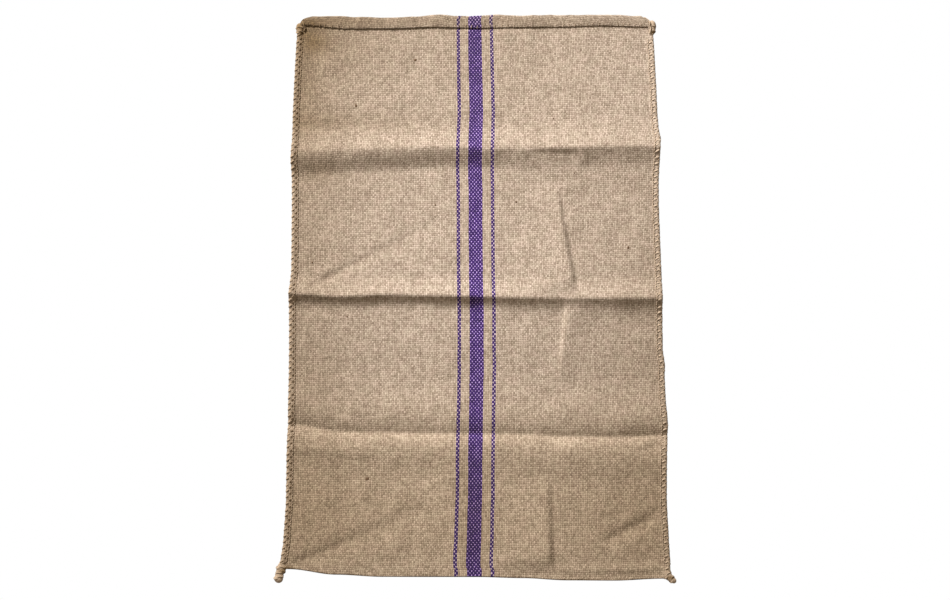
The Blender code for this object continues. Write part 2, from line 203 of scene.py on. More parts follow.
# How far the middle of the stripes has wandered to the right, along the sack.
STRIPE_WANDER = (
    (-452, -2.2), (-400, -1.3), (-325, 0.4), (-275, 0.2), (-225, 1.5), (-125, 2.8), (-20, 2.6),
    (30, 1.5), (130, 1), (238, 0.2), (290, 2.4), (350, 1), (450, -0.2),
)

# The groove that the locking stitches leave along the inner side of each seam.
GROOVE_INWARD = {"left": 11.6, "right": 14.8}
GROOVE_DEPTH = {"left": 0.18, "right": 0.28}
GROOVE_HALF_WIDTH = 1.9

# The cloth's columns of points: from one share of its half width to the next, and how many.
COLUMN_RUNS = (
    (-1.0, -0.93, 11), (-0.93, 0.32, 60), (0.32, 0.58, 34), (0.58, 0.93, 20), (0.93, 1.0, 11),
)
FRONT_ROWS = 60
BACK_ROWS = 18
TURN_ROWS = 8
NEAR_CREASE = 0.06
NEAR_HEM = 0.9
HEM_ROWS = (0.75, 0.5, 0.2)

# The turned hems: rows down each flap, its stitches, and how far the front one stands off.
BACK_FLAP_ROWS = 6
FRONT_FLAP_ROWS = 10
HEM_PITCH = 10.0
HEM_FIRST_STITCH = -276.0
HEM_STRAY = 1.6
BACK_PULL = 0.6
FRONT_PULL = 0.25
HEM_DIMPLE = 0.08
MOUTH_WAVE = 0.2
FLAP_SWELL = 0.35
FLAP_LEAST_GAP = 0.4
FLAP_TURN_GAP = 1.5
FLAP_PARTS = (0.0, 0.3, 0.8, 1.0)
FLAP_GAPS = (1.5, 1.7, 1.2, 0.45)


# ---- Shape functions: numbers or arrays in millimetres ----

def smooth_step(value, start, end):
    share = np.clip((value - start) / (end - start), 0, 1)
    return share * share * (3.0 - 2.0 * share)


def across(values, share):
    """A value between evenly spaced places across the sack, at a share from -1 to 1."""
    values = np.asarray(values)
    place = (np.clip(share, -HELD, HELD) / HELD + 1.0) * 0.5 * (len(values) - 1)
    left = np.minimum(place.astype(int), len(values) - 2)
    step = smooth_step(place - left, 0, 1)
    return values[left] + (values[left + 1] - values[left]) * step


def line_y(name, share):
    return across(LINES[name], share)


def edge_x(table, side, y):
    """The x of an edge at a place y, between the rows of a table."""
    return np.interp(y, [row.y for row in table], [getattr(row, side) for row in table])


def cloth_edge(side, y):
    """Where the cloth ends sideways: inside the seam's bead, or at the hem's rounded end."""
    inward = INWARD[side]
    seam = edge_x(SEAM_EDGES, side, np.maximum(y, LAST_EDGE)) + inward * CLOTH_INSET
    corner = line_y("bottom fold", np.asarray(-inward)) + CORNER_ROUND
    drop = np.clip((corner - y) / CORNER_ROUND, 0, 1)
    seam += inward * CORNER_ROUND * CORNER_DEPTH * (1 - np.sqrt(1 - drop * drop * CORNER_ARC))
    return np.where(y > SEAM_TOP, edge_x(HEM_SIDES, side, y), seam)


def place_x(share, y):
    left, right = cloth_edge("left", y), cloth_edge("right", y)
    return left + (right - left) * (share + 1.0) * 0.5


SWELL_SCALE = 256.0 / 27.0
LEDGE_SHARE = 0.58
LEDGE_CURVE = 1.2
LEDGE_LENGTH = 5.5
CREST_ROUND = 2.0


def flank_height(form, away):
    """The share of a crease's rise that is left, away from it in parts of its reach."""
    left = np.maximum(1 - away, 0.0)
    if form == "swell":
        return SWELL_SCALE * away * left ** 3
    if form == "steep":
        return left ** 3
    if form == "ledge":
        far = np.maximum(1 - away / LEDGE_LENGTH, 0.0)
        return LEDGE_SHARE * left ** LEDGE_CURVE + (1 - LEDGE_SHARE) * far ** 2
    return np.maximum(1 - away * away, 0.0) ** 2


def crease_relief(share, y):
    """How far the creases hold both layers above the surface."""
    height = 0.0
    for line, *flanks in CREASES:
        distance = y - line_y(line, share)
        softened = np.hypot(distance, CREST_ROUND) - CREST_ROUND
        below, above = (
            across(rises, share) * flank_height(form, softened / across(reaches, share))
            for form, rises, reaches in flanks
        )
        height = height + np.where(distance < 0.0, below, above)
    return height


def fold_relief(x, y):
    """How far the folds raise or lower the front layer: steep on the narrow side of each."""
    height = 0.0
    for fold in FOLDS:
        run = np.array((fold.x1 - fold.x0, fold.y1 - fold.y0))
        length = np.hypot(*run)
        ahead = ((x - fold.x0) * run[0] + (y - fold.y0) * run[1]) / length ** 2
        aside = ((y - fold.y0) * run[0] - (x - fold.x0) * run[1]) / length
        share = np.clip(ahead, 0, 1)
        beyond = np.abs(ahead - share) * length / min(FOLD_END, 0.5 * length)
        left = fold.left0 + (fold.left1 - fold.left0) * share
        right = fold.right0 + (fold.right1 - fold.right0) * share
        away = np.abs(aside) / np.where(aside > 0.0, left, right)
        gentle = np.maximum(1 - np.hypot(away, beyond), 0.0) ** GENTLE_FLANK
        end = np.maximum(1 - beyond, 0.0) ** GENTLE_FLANK
        steep = end * (1 - smooth_step(away, 0, 1))
        narrow = (aside > 0.0) == (left < right)
        rise = fold.rise0 + (fold.rise1 - fold.rise0) * share
        height = height + rise * np.where(narrow, steep, gentle)
    return height


WAVES = 18


def uneven(x, y, wavelength, seed):
    """A smooth random field of about unit size: waves of one length that run in all directions."""
    draw = np.random.default_rng(seed)
    total = 0.0
    for _ in range(WAVES):
        angle, phase = draw.uniform(0.0, math.tau, 2)
        length = wavelength * draw.uniform(0.7, 1.4)
        along = x * math.cos(angle) + y * math.sin(angle)
        total = total + np.sin(along * math.tau / length + phase)
    return total * math.sqrt(2.0 / WAVES)


def soil_and_shade(x, y):
    """How much darker and browner the sack is made at a place, from 0 to nearly 1: painted shade in
    some patches, a darker tone in others.
    """
    total = 0.0
    for patch in PATCHES:
        away = ((x - patch.x) / patch.reach_x) ** 2 + ((y - patch.y) / patch.reach_y) ** 2
        total = total + patch.depth * np.exp(-away)
    return np.minimum(total, MOST_SOIL_AND_SHADE)


def seam_groove(x, y):
    """How deep the locking stitches of either seam draw the cloth down."""
    depth = 0.0
    for side in INWARD:
        away = np.abs(x - edge_x(SEAM_EDGES, side, y)) - GROOVE_INWARD[side]
        depth = depth + GROOVE_DEPTH[side] * np.exp(-(away / GROOVE_HALF_WIDTH) ** 2)
    return depth


def layer_heights(x, share, y):
    """The heights of the middles of the back layer and the front layer over one place."""
    pinch = smooth_step(np.abs(share), PINCH_START, HELD)
    hem, bottom = line_y("hem edge", share), line_y("bottom fold", share)
    hem_step = smooth_step(y, hem - HEM_RAMP, hem - HEM_RAMP_END)
    hem_rise = smooth_step(y, hem - HEM_RISE, hem - HEM_RAMP_END)
    loose = (1 - pinch) * (1 - hem_rise)
    panel = smooth_step(y, bottom, bottom + PUFF_RISE)
    front_panel = smooth_step(y, bottom, bottom + FRONT_RISE)
    back = CLOTH * 0.5 + crease_relief(share, y) + HEM_LIFT * np.maximum(pinch, hem_rise)
    waves = 1 + np.clip(uneven(x, y, BACK_WAVELENGTH, 5), -1.0, 1.0)
    back = back + BACK_FLUTTER * (1 - pinch) * waves
    gap = SEWN_GAP + (LAYER_GAP - SEWN_GAP) * np.maximum(1 - pinch, hem_step)
    flutter = sum(size * uneven(x, y, wavelength, seed) for size, wavelength, seed in FLUTTER)
    puff = loose * (panel * PUFF + front_panel * flutter)
    folds = (1 - FOLDS_SEWN_FLAT * pinch) * front_panel * fold_relief(x, y)
    puff = puff + (1 - hem_step) * (folds - seam_groove(x, y))
    return back, back + CLOTH + gap + np.maximum(puff, -gap - MOST_SUNK)


# ---- Meshes ----

SHARP_ANGLE = math.radians(70.0)


class Shape:
    """Quads over points in millimetres, each with its place on the cloth or along the yarn."""

    def __init__(self):
        self.points, self.places, self.faces, self.count = [], [], [], 0

    def add_grid(self, points, places, wrap=False, flip=False):
        """Add rows of points joined by quads. Wrapped rows are closed rings."""
        rows, columns = points.shape[:2]
        index = np.arange(rows * columns).reshape(rows, columns) + self.count
        following = np.roll(index, -1, axis=1)
        near, far = (index, following) if wrap else (index[:, :-1], index[:, 1:])
        quads = np.stack([near[:-1], far[:-1], far[1:], near[1:]], axis=-1).reshape(-1, 4)
        self.faces += (quads[:, ::-1] if flip else quads).tolist()
        self.points.append(points.reshape(-1, 3))
        self.places.append(np.broadcast_to(places, points.shape).reshape(-1, 3))
        self.count += rows * columns
        return index

    def join(self, near, far):
        """Join two rows of points by quads."""
        self.faces += np.stack([near[:-1], near[1:], far[1:], far[:-1]], axis=-1).tolist()

    def add_tube(self, rings, places):
        """Add closed rings as a tube with both ends capped."""
        index = self.add_grid(rings, places, wrap=True)
        self.faces += [index[0][::-1].tolist(), index[-1].tolist()]


def add_object(name, data):
    added = bpy.data.objects.new(name, data)
    bpy.context.scene.collection.objects.link(added)
    return added


def add_piece(name, shape, material):
    """Make an object of the shape, in metres, that rides on the sack's body."""
    mesh = bpy.data.meshes.new(name)
    points = np.concatenate(shape.points)
    mesh.from_pydata(points * MM, [], shape.faces)
    # The patches' darkening, painted shade among it, goes to the materials as a point attribute.
    soiled_and_shaded = mesh.attributes.new("soil_and_shade", "FLOAT", "POINT")
    soiled_and_shaded.data.foreach_set("value", soil_and_shade(points[:, 0], points[:, 1]).astype(np.float32))
    place = mesh.attributes.new("place", "FLOAT_VECTOR", "POINT")
    place.data.foreach_set("vector", np.concatenate(shape.places).astype(np.float32).ravel())
    mesh.materials.append(material)
    mesh.shade_smooth()
    mesh.set_sharp_from_angle(angle=SHARP_ANGLE)
    piece = add_object(name, mesh)
    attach(piece, BODY)
    return piece


def round_angles(count):
    return np.arange(count) * math.tau / count


def unit(vectors):
    return vectors / np.maximum(np.linalg.norm(vectors, axis=-1, keepdims=True), 1e-9)


def stacked(*parts):
    """Points or places from their three parts."""
    return np.stack(np.broadcast_arrays(*parts), axis=-1)


# ---- The cloth ----

def column_shares():
    runs = [np.linspace(start, end, count, endpoint=False) for start, end, count in COLUMN_RUNS]
    return np.append(np.concatenate(runs), 1.0)


def lengthwise(count):
    """Rows from the bottom fold to the hem, as a y for every column, closer at the creases."""
    steps = np.linspace(0, 1, count, endpoint=False)
    steps = (steps - NEAR_CREASE * np.sin(math.tau * steps))[:, None]
    lines = [line_y(name, column_shares()) for name in LINES if name != "mouth"]
    rows = [start + (end - start) * steps for start, end in zip(lines, lines[1:])]
    rows = np.concatenate(rows)[1:]
    hem = lines[-1]
    rows = rows[rows.mean(axis=1) < hem.mean() - NEAR_HEM * HEM_RAMP]
    return np.concatenate([rows, [hem - away * HEM_RAMP for away in HEM_ROWS]])


def turn(y, low, high, way):
    """Rows round a fold: y and height, from the low layer to the high one."""
    angles = (np.linspace(0, 1, TURN_ROWS + 1) - 0.5)[:, None] * math.pi
    radius = (high - low) * 0.5
    return y + way * radius * np.cos(angles), (low + high) * 0.5 + radius * np.sin(angles)


def hem_stitches():
    """Where the hem's stitches stand, as x from left to right."""
    draw = np.random.default_rng(21)
    places = np.arange(HEM_FIRST_STITCH, 2.0 - HEM_FIRST_STITCH, HEM_PITCH)
    return places + draw.uniform(-HEM_STRAY, HEM_STRAY, len(places))


def middle_surface():
    """The cloth's middle, from the back hem's edge round the bottom to the front hem's edge.

    Gives x, y and z for every row and column, and which rows belong to the front hem's flap.
    """
    share = column_shares()

    def heights(y):
        return layer_heights(place_x(share, y), share, y)

    flat_x = share * CLOTH_HALF
    mouth, hem, bottom = (line_y(name, share) for name in ("mouth", "hem edge", "bottom fold"))
    mouth = mouth + MOUTH_WAVE * uneven(flat_x, 0.0, 22.0, 11)
    back_mouth, front_mouth = heights(mouth)
    back_bottom, front_bottom = heights(bottom)
    swell = 1 + FLAP_SWELL * uneven(flat_x, 0.0, 52.0, 12)
    flap = back_mouth - HEM_LIFT
    front_flap = front_mouth + CLOTH + FLAP_TURN_GAP * swell
    turn_y = mouth - (front_flap - front_mouth) * 0.5 - CLOTH * 0.5
    lower_turn_y = bottom + (front_bottom - back_bottom) * 0.5 + CLOTH * 0.5

    # The cloth is held at each stitch and free halfway between two of them.
    stitches = hem_stitches()
    held = np.cos(math.tau * np.interp(flat_x, stitches, np.arange(len(stitches))))
    rows = []
    for part in np.linspace(0, 1, BACK_FLAP_ROWS, endpoint=False):
        edge = hem - BACK_PULL * held * (1 - part)
        rows.append((edge + (turn_y - edge) * part, flap))
    rows += zip(*turn(turn_y, flap, back_mouth, 1.0))
    rows += [(y, heights(y)[0]) for y in lengthwise(BACK_ROWS)[::-1]]
    rows += zip(*turn(lower_turn_y, back_bottom, front_bottom, -1.0))
    rows += [(y, heights(y)[1]) for y in lengthwise(FRONT_ROWS)]
    first_flap_row = len(rows) + TURN_ROWS // 2
    rows += zip(*turn(turn_y, front_mouth, front_flap, 1.0))
    edge = hem + FRONT_PULL * held
    for part in np.linspace(0, 1, FRONT_FLAP_ROWS)[1:]:
        gap = FLAP_LEAST_GAP + (np.interp(part, FLAP_PARTS, FLAP_GAPS) - FLAP_LEAST_GAP) * swell
        gap = gap - HEM_DIMPLE * held * smooth_step(part, 0.5, 1.0)
        rows.append((turn_y + (edge - turn_y) * part, front_mouth + CLOTH + gap))
    y, z = (np.array(column) for column in zip(*rows))
    turned = (np.arange(len(rows)) >= first_flap_row) * 1.0
    return np.stack([place_x(share, y), y, z], axis=-1), turned


def cloth_places(points, turned):
    """Each point's place on the cloth: across, along the warp, and 1 on the turned hem."""
    steps = np.linalg.norm(np.diff(points[..., 1:], axis=0), axis=-1)
    along = np.concatenate([np.zeros((1, points.shape[1])), np.cumsum(steps, axis=0)])
    middle_row = np.argmin(points[:, points.shape[1] // 2, 1])
    along = along - along[middle_row] + line_y("bottom fold", column_shares())
    share = column_shares()[None, :]
    middle = (points[:, :1, 0] + points[:, -1:, 0]) * 0.5
    centre = np.interp(points[..., 1], *zip(*STRIPE_WANDER)) - middle
    u = share * CLOTH_HALF - centre * (1 - share ** 2)
    return stacked(u, along, turned[:, None])


# The cloth's places in a square image, in metres of cloth to the image's side: the front and the
# turned hem at full size, the back narrower beside it, and the inner faces in a strip above.
MAP_BACK = 0.62
MAP_BACK_SCALE = 0.61
MAP_INNER = 0.966
MAP_INNER_SCALE = 0.034
MAP_SHIFT = 0.3
MAP_EDGES = 0.961
MAP_EDGE_WIDTH = 0.003
MAP_SIDES = 0.604
MAP_SIDE_STEP = 0.006
MAP_SIDE_WIDTH = 0.004
MAP_SIDE_LENGTH = 0.9


def grid_corners(chart, flip):
    """The image places of each quad's corners, in the order in which add_grid makes them."""
    quads = np.stack([chart[:-1, :-1], chart[:-1, 1:], chart[1:, 1:], chart[1:, :-1]], axis=2)
    quads = quads.reshape(-1, 4, 2)
    return quads[:, ::-1] if flip else quads


def joined_corners(near, far):
    """The same for a row of quads that join makes."""
    return np.stack([near[:-1], near[1:], far[1:], far[:-1]], axis=1)


def cloth_map(places):
    """The image places of every face's corners, for the faces in the order of build_cloth."""
    width = places[..., 0] * MM + MAP_SHIFT
    length = places[..., 1] * MM
    bottom = np.argmin(np.abs(length[:, length.shape[1] // 2] - line_y("bottom fold", 0.0) * MM))
    length = np.abs(length - length[bottom])
    front = np.stack([width, length], axis=-1)
    back = np.stack([MAP_BACK + width * MAP_BACK_SCALE, length], axis=-1)
    corners = []
    for squeeze, raised, flip in ((1.0, 0.0, False), (MAP_INNER_SCALE, MAP_INNER, True)):
        for chart in (back[: bottom + 1], front[bottom:]):
            corners.append(grid_corners(chart * (1.0, squeeze) + (0.0, raised), flip))
    for row in (back[0], front[-1]):
        near = row * (1.0, 0.0) + (0.0, MAP_EDGES)
        corners.append(joined_corners(near, near + (0.0, MAP_EDGE_WIDTH)))
    spread = np.linspace(0.0, MAP_SIDE_LENGTH, len(length))
    for number in range(2):
        near = stacked(MAP_SIDES + number * MAP_SIDE_STEP, spread)
        corners.append(joined_corners(near, near + (MAP_SIDE_WIDTH, 0.0)))
    return np.concatenate(corners)


def build_cloth(material):
    """The whole cloth as one closed sheet with its real thickness."""
    middle, turned = middle_surface()
    normals = unit(np.cross(np.gradient(middle, axis=1), np.gradient(middle, axis=0)))
    places = cloth_places(middle, turned)
    shape = Shape()
    outer = shape.add_grid(middle + normals * CLOTH * 0.5, places)
    inner = shape.add_grid(middle - normals * CLOTH * 0.5, places, flip=True)
    shape.join(inner[0], outer[0])
    shape.join(outer[-1], inner[-1])
    shape.join(outer[:, 0], inner[:, 0])
    shape.join(inner[:, -1], outer[:, -1])
    cloth = add_piece("woven_cloth", shape, material)
    image_places = cloth.data.uv_layers.new(name="OFBake")
    image_places.data.foreach_set("uv", cloth_map(places).astype(np.float32).ravel())
    return cloth


# ---- Twine ----

def moving_frame(path):
    """Two directions across a path that turn with it as little as they can."""
    tangents = unit(np.gradient(path, axis=0))
    normal = np.cross(tangents[0], (0.31, 0.22, 0.93))
    normals = []
    for tangent in tangents:
        normal = normal - tangent * np.dot(normal, tangent)
        normal = normal / np.linalg.norm(normal)
        normals.append(normal)
    normals = np.array(normals)
    return normals, np.cross(tangents, normals)


def outward_frame(path, out):
    """Two directions across a path: the one nearest to the way out, and one at right angles."""
    tangents = unit(np.gradient(path, axis=0))
    sideways = unit(np.cross(tangents, unit(out)))
    return np.cross(sideways, tangents), sideways


def path_lengths(path):
    return np.append(0.0, np.cumsum(np.linalg.norm(np.diff(path, axis=0), axis=1)))


PLY_SPREAD = 0.865
PLY_SIDES = 6


def add_strand(shape, path, normals, sideways, radius, flat, number):
    """A tube along a path, flattened along the normals."""
    angles = round_angles(PLY_SIDES)
    high = flat * np.cos(angles)[:, None] * normals[:, None]
    wide = np.sin(angles)[:, None] * sideways[:, None]
    rings = path[:, None] + radius[:, None, None] * (high + wide)
    rings[..., 2] = np.maximum(rings[..., 2], 0.0)
    around = np.abs(angles / math.pi - 1.0)
    shape.add_tube(rings, stacked(path_lengths(path)[:, None], around, number))


def add_twine(shape, path, normals, sideways, radius, twist, flat=1.0, seed=0, taper=0.0):
    """Two plies twisted round each other along a path. The radius is that of one ply.

    The twist is the length of a turn, or the angle at every point of the path.
    """
    draw = np.random.default_rng(seed)
    length = path_lengths(path)
    swell = 1 + 0.10 * np.sin(length / 3.7 + draw.uniform(0, 6)) * np.sin(length / 8.3)
    if taper:
        ends = np.minimum(length, length[-1] - length)
        swell = swell * (0.45 + 0.55 * smooth_step(ends, 0.0, taper))
    turned = length / twist * math.tau if np.isscalar(twist) else twist
    for ply in range(2):
        angle = (turned + math.pi * ply)[:, None]
        offset = flat * np.cos(angle) * normals + np.sin(angle) * sideways
        centre = path + PLY_SPREAD * (radius * swell)[:, None] * offset
        add_strand(shape, centre, normals, sideways, radius * swell, flat, seed * 0.37 + ply * 0.5)


# ---- The seams ----

BEAD_OUTWARD = 3.5
BEAD_INWARD = {"left": 4.9, "right": 5.7}
BEAD_HALF_HEIGHT = 2.25
BEAD_MIDDLE = 3.7
BEAD_STEP = 1.4
BEAD_SIDES = 20
BEAD_GIRTH = 34.0
BEAD_SWELL = 1.03
BEAD_DRAWN_IN = 0.08
BEAD_UNEVEN = 0.03
STITCH_PITCH = 9.8
STITCH_STRAY = 1.1
STITCH_POINTS = 32
STITCH_PLY = 1.35
STITCH_FLATNESS = 0.44
STITCH_SLANT = 9.4
STITCH_SINK = {"left": 0.05, "right": 0.18}
BEAD_SQUARENESS = {"left": 0.62, "right": 0.82}
CHAIN_INWARD = 9.9
CHAIN_PLY = 0.64
CHAIN_TWIST = 9.0


def stitch_places(side):
    """Where the seam's twine passes the outer edge on top, turn by turn, upwards."""
    draw = np.random.default_rng(31 if side == "left" else 32)
    places = np.arange(SEAM_BOTTOM[side] + 4.0, SEAM_TOP + 6.0, STITCH_PITCH)
    return places + draw.uniform(-STITCH_STRAY, STITCH_STRAY, len(places))


def stitch_nearness(y, stitches, reach):
    """1 at each stitch, falling away over a reach."""
    count = np.interp(y, stitches, np.arange(len(stitches)))
    return np.exp(-(((count + 0.5) % 1 - 0.5) * STITCH_PITCH / reach) ** 2)


def bead_frame(side, y):
    """The x and z of the middle of the bead's section at y."""
    x = edge_x(SEAM_EDGES, side, y) + INWARD[side] * BEAD_MIDDLE
    return x, crease_relief(np.full_like(y, -INWARD[side]), y) + SEAM_HEIGHT * 0.5


def slant(side, angle):
    """How far along the seam the twine lies at an angle round it: it runs up to the right on top.

    The angle is 0 at the inner side, a quarter turn on top, and half a turn at the outer edge.
    """
    top = np.clip(angle / math.pi, 0, 1)
    under = np.clip(angle / math.pi - 1.0, 0, 1)
    return INWARD[side] * (STITCH_SLANT * (1 - top) - (STITCH_PITCH - STITCH_SLANT) * under)


def bead_section(side, angle):
    """A point on the bead's section, as distances inward and up from its middle: longer inward."""
    across_bead, up = (
        np.copysign(np.abs(part) ** BEAD_SQUARENESS[side], part)
        for part in (np.cos(angle), np.sin(angle))
    )
    half_width = np.where(across_bead > 0.0, BEAD_INWARD[side], BEAD_OUTWARD)
    return INWARD[side] * across_bead * half_width, up * BEAD_HALF_HEIGHT


def build_bead(side, material):
    """The layers' edges, rolled into a bead and drawn in under each turn of the twine."""
    y = np.arange(SEAM_BOTTOM[side], SEAM_TOP + 4.0, BEAD_STEP)[:, None]
    angles = round_angles(BEAD_SIDES)
    x, z = bead_frame(side, y)
    along = y - slant(side, angles)
    under = stitch_nearness(along, stitch_places(side), 2.1)
    aside, up = bead_section(side, angles)
    bulge = BEAD_SWELL - BEAD_DRAWN_IN * under + BEAD_UNEVEN * uneven(along, angles * 3.0, 17.0, 41)
    points = stacked(x + aside * bulge, y, np.maximum(z + up * bulge, 0.0))
    middle = -INWARD[side] * (CLOTH_HALF - BEAD_MIDDLE)
    places = stacked(middle + angles / math.tau * BEAD_GIRTH, y, 0.0)
    shape = Shape()
    shape.add_tube(points if side == "right" else points[:, ::-1], places)
    return add_piece(f"seam_{side}_bead", shape, material)


def build_overhead_twine(side, material):
    """One length of two-ply twine sewn over the bead, from the ear to the knot."""
    stitches = stitch_places(side)
    way = 1 if side == "right" else -1
    part = np.linspace(0, 1, STITCH_POINTS, endpoint=False)
    number = np.arange(len(stitches) - 1)[::way]
    place = stitches[number][:, None]
    following = stitches[np.clip(number + way, 0, len(stitches) - 1)][:, None]
    under = np.clip(part * 2.0 - 1.0, 0, 1)
    y = place + slant(side, part * math.tau) + under * (following - place - way * STITCH_PITCH)
    y, angle = y.ravel(), np.tile(part * math.tau, len(number))
    x, z = bead_frame(side, y)
    aside, up = bead_section(side, angle)
    sunk = 1 - STITCH_SINK[side]
    path = stacked(x + aside * sunk, y, z + up * sunk)
    directions = outward_frame(path, stacked(aside * 0.6, 0.0, up))
    shape = Shape()
    add_twine(shape, path, *directions, STITCH_PLY, angle, STITCH_FLATNESS, seed=3)
    return add_piece(f"seam_{side}_twine", shape, material)


def build_chain(side, material):
    """The line of locking stitches along the inner side of the seam, on both faces."""
    shape = Shape()
    stitches = stitch_places(side)
    y = np.arange(stitches[1], stitches[-2], 1.25)
    y = y[(y > SEAM_BOTTOM[side] + 10.0) & (y < SEAM_TOP - 2.0)]
    dip = stitch_nearness(y - INWARD[side] * STITCH_SLANT, stitches, 1.6)
    wave = 0.35 * uneven(y, 0.0, 31.0, 52)
    x = edge_x(SEAM_EDGES, side, y) + INWARD[side] * (CHAIN_INWARD + wave - 0.5 * dip)
    left, right = cloth_edge("left", y), cloth_edge("right", y)
    back, front = layer_heights(x, (x - left) / (right - left) * 2.0 - 1.0, y)
    top = stacked(x, y, front + CLOTH * 0.5 + 0.15 - 0.45 * dip)
    under = stacked(x, y, back - CLOTH * 0.5 - 0.1 + 0.45 * dip)
    for number, path in enumerate((top, under)):
        add_twine(shape, path, *moving_frame(path), CHAIN_PLY, CHAIN_TWIST, seed=5 + number)
    return add_piece(f"seam_{side}_chain", shape, material)


# ---- Knots, ears and the hem's stitches ----

# Lobes of twine wound round the ends of the seams: the middle line from the seam outwards, and half
# the width and height along it. A loop of the same twine holds each knot to the hem's end.
Lobe = namedtuple("Lobe", "name middle_height spine half_widths half_heights turns slope")
LOBES = (
    Lobe(
        "ear_left", 3.9,
        ((-297.6, -433), (-301, -440), (-303.6, -448), (-304.8, -455.3), (-306, -461.5)),
        (7.4, 8.1, 6.7, 7.6, 7), (2.6, 3.3, 3.2, 3.6, 3), 3, -1,
    ),
    Lobe(
        "ear_right", 3.9,
        ((295.6, -443.4), (299, -449.4), (303.2, -454.2), (308, -457.8), (312, -460.2)),
        (7.6, 7.4, 6, 4.8, 4.6), (2.6, 3, 3.1, 2.9, 2.4), 2, -1,
    ),
    Lobe(
        "knot_left", 4.8,
        ((-289.4, 427), (-289, 432.5), (-288.6, 437.6), (-288.4, 442.6), (-288.2, 448)),
        (3.2, 5.8, 6.7, 6.7, 6.3), (2.8, 3.6, 4, 4, 3.4), 2, -0.8,
    ),
    Lobe(
        "knot_right", 4.8,
        ((292, 428), (291.8, 433.5), (291.7, 439), (291.7, 444.8), (291.5, 452.4)),
        (2.6, 5.6, 6.9, 7, 7.6), (2.6, 3.8, 4.4, 4.2, 3.4), 2, -0.8,
    ),
)
LOOPS = {
    "knot_left": (
        (-285, 450.4, 6), (-283.2, 447, 8.8), (-281.2, 442.5, 9.2),
        (-280.4, 438, 7.4), (-282.4, 433.6, 5),
    ),
    "knot_right": (
        (277, 456, 6.4), (284, 452.4, 9.2), (287.6, 446.2, 9.8),
        (288.6, 437, 8.8), (289.4, 428, 6.2),
    ),
}
LOBE_RINGS = 24
LOBE_SIDES = 16
LOBE_TURN_POINTS = 40
LOBE_RING_LENGTH = 1.2
LOBE_CORE = 0.92
LOBE_PLY = 1.25
LOBE_TWIST = 22.0
LOBE_FLATNESS = 0.6
LOBE_LEAN = 3.6
LOBE_TIP = 0.97
LOBE_WOUND = 0.72
LOBE_LAST_TURN = 19.0
LOOP_PLY = 1.0


def along_spine(points, count):
    """A smooth curve through a few points."""
    points = np.asarray(points, float)
    places = np.linspace(0.0, len(points) - 1.0, count)
    fitted = [np.polyfit(np.arange(len(points)), column, 3) for column in points.T]
    return np.stack([np.polyval(curve, places) for curve in fitted], axis=-1)


def build_lobe(lobe, material):
    """A core with twine wound round it, leaning, and the loop that holds it to the hem's end."""
    shape = Shape()
    rings = np.arange(LOBE_RINGS)
    stations = np.linspace(0.0, len(lobe.spine) - 1.0, LOBE_RINGS)
    tip = np.sqrt(1 - np.clip(stations - stations[-1] + 1.0, 0.0, LOBE_TIP) ** 2)
    widths = np.interp(stations, range(len(lobe.spine)), lobe.half_widths) * tip
    heights = np.interp(stations, range(len(lobe.spine)), lobe.half_heights) * tip
    spine = along_spine(lobe.spine, LOBE_RINGS)
    ahead = unit(np.gradient(spine, axis=0))
    aside = np.stack([ahead[:, 1], -ahead[:, 0]], axis=-1)

    angles = round_angles(LOBE_SIDES)
    reach = LOBE_CORE * widths[:, None] * np.cos(angles)
    z = lobe.middle_height + LOBE_CORE * heights[:, None] * np.sin(angles)
    x, y = (spine[:, k, None] + aside[:, k, None] * reach for k in (0, 1))
    core = stacked(x, y, np.maximum(z, 0.0))
    around = np.abs(angles / math.pi - 1.0)
    shape.add_tube(core[:, ::-1], stacked(rings[:, None] * LOBE_RING_LENGTH, around, 0.2))

    turns = np.linspace(0, 1, lobe.turns * LOBE_TURN_POINTS)
    angle = (turns * lobe.turns - 0.25) * math.tau
    leaning = 1 + turns * LOBE_WOUND * LOBE_RINGS - lobe.slope * LOBE_LEAN * np.cos(angle)
    leaning = np.clip(leaning, 0.0, LOBE_LAST_TURN)
    x, y, side_x, side_y, width, height = (
        np.interp(leaning, rings, values) for values in (*spine.T, *aside.T, widths, heights)
    )
    reach = (width - LOBE_PLY * 0.5) * np.cos(angle)
    up = (height - LOBE_PLY * 0.5) * np.sin(angle)
    path = stacked(x + side_x * reach, y + side_y * reach, lobe.middle_height + up)
    out = stacked(side_x * np.cos(angle), side_y * np.cos(angle), np.sin(angle) * 1.6)
    directions = outward_frame(path, out)
    add_twine(shape, path, *directions, LOBE_PLY, LOBE_TWIST, LOBE_FLATNESS, seed=7, taper=4.0)
    if lobe.name in LOOPS:
        loop = along_spine(LOOPS[lobe.name], LOBE_TURN_POINTS)
        add_twine(shape, loop, *moving_frame(loop), LOOP_PLY, LOBE_TWIST, seed=8, taper=2.0)
    return add_piece(f"{lobe.name}_wound", shape, material)


HEM_PLY = 0.45
HEM_TWIST = 8.0
HEM_STITCH_LOW = 1.3
HEM_STITCH_STEPS = (0.0, 0.12, 0.30, 0.75, 1.0)
HEM_STITCH_RISES = (0.1, 0.9, 1.8, 2.35, 1.3)


